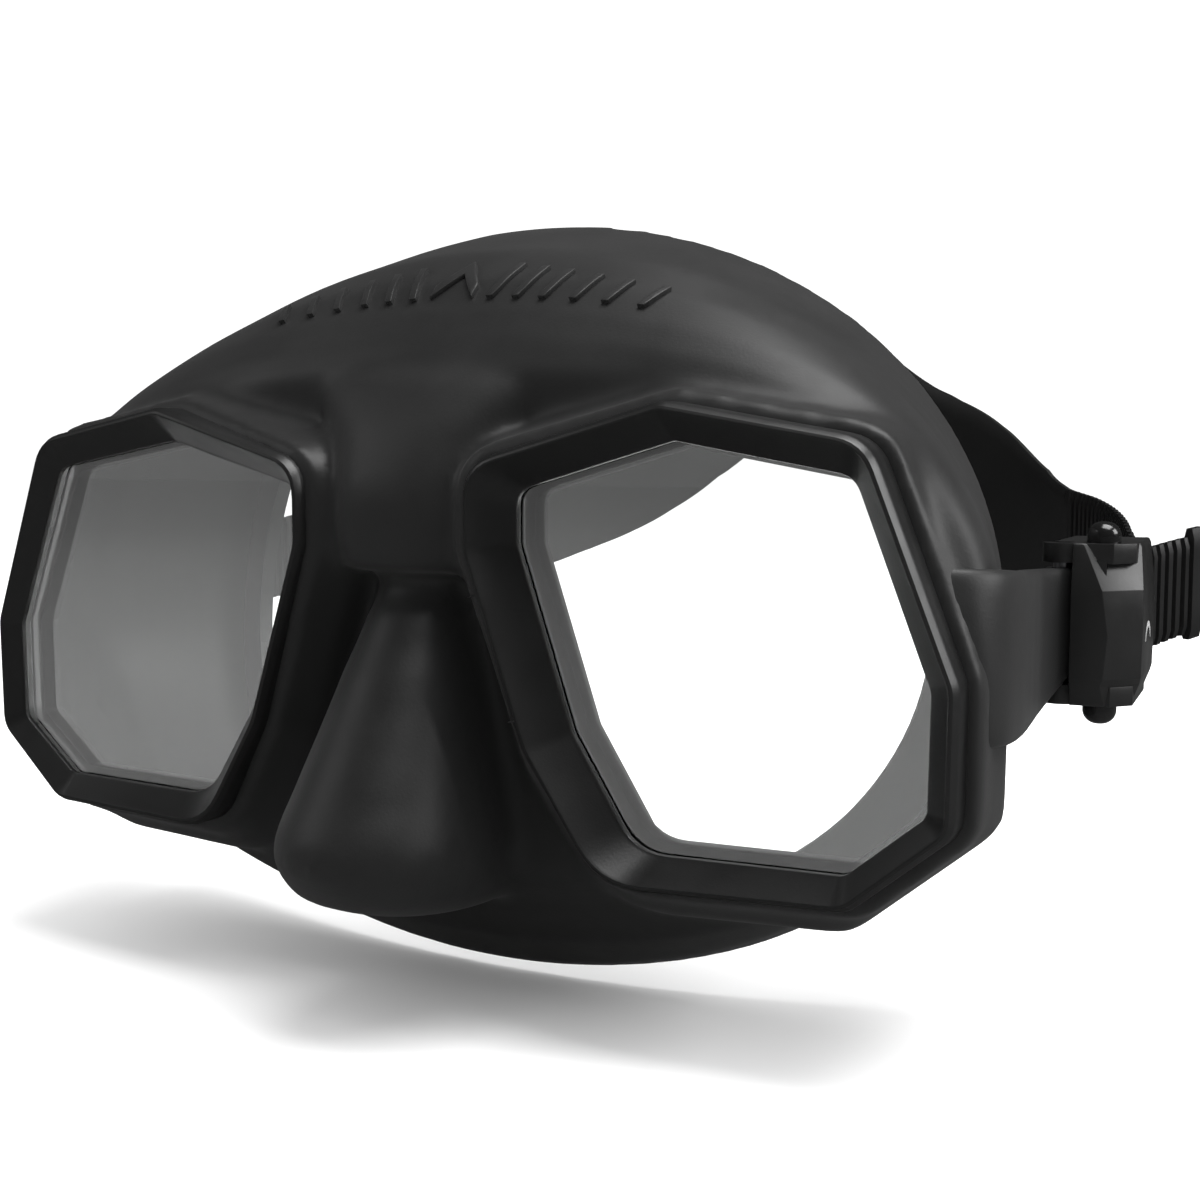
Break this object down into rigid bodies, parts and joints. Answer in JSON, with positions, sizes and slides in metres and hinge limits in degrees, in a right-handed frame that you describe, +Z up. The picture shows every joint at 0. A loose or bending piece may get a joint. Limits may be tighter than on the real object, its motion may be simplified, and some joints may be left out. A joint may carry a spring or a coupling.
{
  "type": "diving mask",
  "caption": "Low-volume diving mask: two faceted bezels around flat glass, a silicone skirt with a nose pocket, and a split strap on swivelling push-button buckles.",
  "frame": {"origin": "centre of the face seal, midway between the windows, 32 mm behind the glass", "axes": "+Z up, the mask looks along -Y, +X is the wearer's left"},
  "size_m": [0.1566, 0.1342, 0.0969],
  "materials": {
    "silicone": "matt moulded",
    "strap_silicone": "satin moulded",
    "bezel_plastic": "satin",
    "buckle_plastic": "satin",
    "button_plastic": "polished",
    "tempered_glass": "polished",
    "steel": "drawn wire"
  },
  "bodies": {
    "mask": {"skirt": "silicone", "nose_pocket": "silicone", "strap_band": "strap_silicone", "strap_ear_left": "silicone", "bezel_left": "bezel_plastic", "lens_left": "tempered_glass", "clamp_ring_left": "bezel_plastic", "ear_pin_left": "steel", "strap_ear_right": "silicone", "bezel_right": "bezel_plastic", "lens_right": "tempered_glass", "clamp_ring_right": "bezel_plastic", "ear_pin_right": "steel"},
    "buckle_left": {"buckle_base_left": "buckle_plastic", "buckle_cover_left": "buckle_plastic", "roller_pin_left": "steel", "catch_pin_left": "steel", "button_spring_left": "steel", "strap_end_left": "strap_silicone"},
    "roller_left": {"roller_left": "buckle_plastic"},
    "strap_catch_left": {"strap_catch_left": "buckle_plastic"},
    "upper_button_left": {"upper_button_left": "button_plastic"},
    "lower_button_left": {"lower_button_left": "button_plastic"},
    "buckle_right": {"buckle_base_right": "buckle_plastic", "buckle_cover_right": "buckle_plastic", "roller_pin_right": "steel", "catch_pin_right": "steel", "button_spring_right": "steel", "strap_end_right": "strap_silicone"},
    "roller_right": {"roller_right": "buckle_plastic"},
    "strap_catch_right": {"strap_catch_right": "buckle_plastic"},
    "upper_button_right": {"upper_button_right": "button_plastic"},
    "lower_button_right": {"lower_button_right": "button_plastic"}
  },
  "joints": [
    {"name": "buckle_left_swing", "type": "hinge", "parent": "mask", "child": "buckle_left", "pos_m": [0.0683, -0.002, 0.0023], "axis": [0, 0, 1], "range_deg": [-12, 15], "deforming": ["strap_end_left"]},
    {"name": "upper_button_left_press", "type": "slide", "parent": "buckle_left", "child": "upper_button_left", "axis": [0, 0, -1], "range_m": [0, 0.0015], "stiffness_N_per_m": 800, "springref_m": -0.001, "deforming": ["button_spring_left"]},
    {"name": "lower_button_left_press", "type": "slide", "parent": "buckle_left", "child": "lower_button_left", "axis": [0, 0, 1], "range_m": [0, 0.0015]},
    {"name": "strap_catch_left_lift", "type": "hinge", "parent": "buckle_left", "child": "strap_catch_left", "pos_m": [0.07408, 0.00947, 0.0023], "axis": [0, 0, 1], "range_deg": [0, 2.2]},
    {"name": "roller_left_spin", "type": "hinge", "parent": "buckle_left", "child": "roller_left", "pos_m": [0.07102, 0.00462, 0.0023], "axis": [0, 0, 1], "continuous": true},
    {"name": "buckle_right_swing", "type": "hinge", "parent": "mask", "child": "buckle_right", "pos_m": [-0.0683, -0.002, 0.0023], "axis": [0, 0, 1], "range_deg": [-15, 12], "deforming": ["strap_end_right"]},
    {"name": "upper_button_right_press", "type": "slide", "parent": "buckle_right", "child": "upper_button_right", "axis": [0, 0, -1], "range_m": [0, 0.0015], "stiffness_N_per_m": 800, "springref_m": -0.001, "deforming": ["button_spring_right"]},
    {"name": "lower_button_right_press", "type": "slide", "parent": "buckle_right", "child": "lower_button_right", "axis": [0, 0, 1], "range_m": [0, 0.0015]},
    {"name": "strap_catch_right_lift", "type": "hinge", "parent": "buckle_right", "child": "strap_catch_right", "pos_m": [-0.07408, 0.00947, 0.0023], "axis": [0, 0, -1], "range_deg": [0, 2.2]},
    {"name": "roller_right_spin", "type": "hinge", "parent": "buckle_right", "child": "roller_right", "pos_m": [-0.07102, 0.00462, 0.0023], "axis": [0, 0, 1], "continuous": true}
  ],
  "couplings": [
    {"joint": "lower_button_left_press", "follows": "upper_button_left_press", "ratio": 1},
    {"joint": "strap_catch_left_lift", "follows": "upper_button_left_press", "rad_per_m": 25.573},
    {"joint": "lower_button_right_press", "follows": "upper_button_right_press", "ratio": 1},
    {"joint": "strap_catch_right_lift", "follows": "upper_button_right_press", "rad_per_m": 25.573}
  ]
}
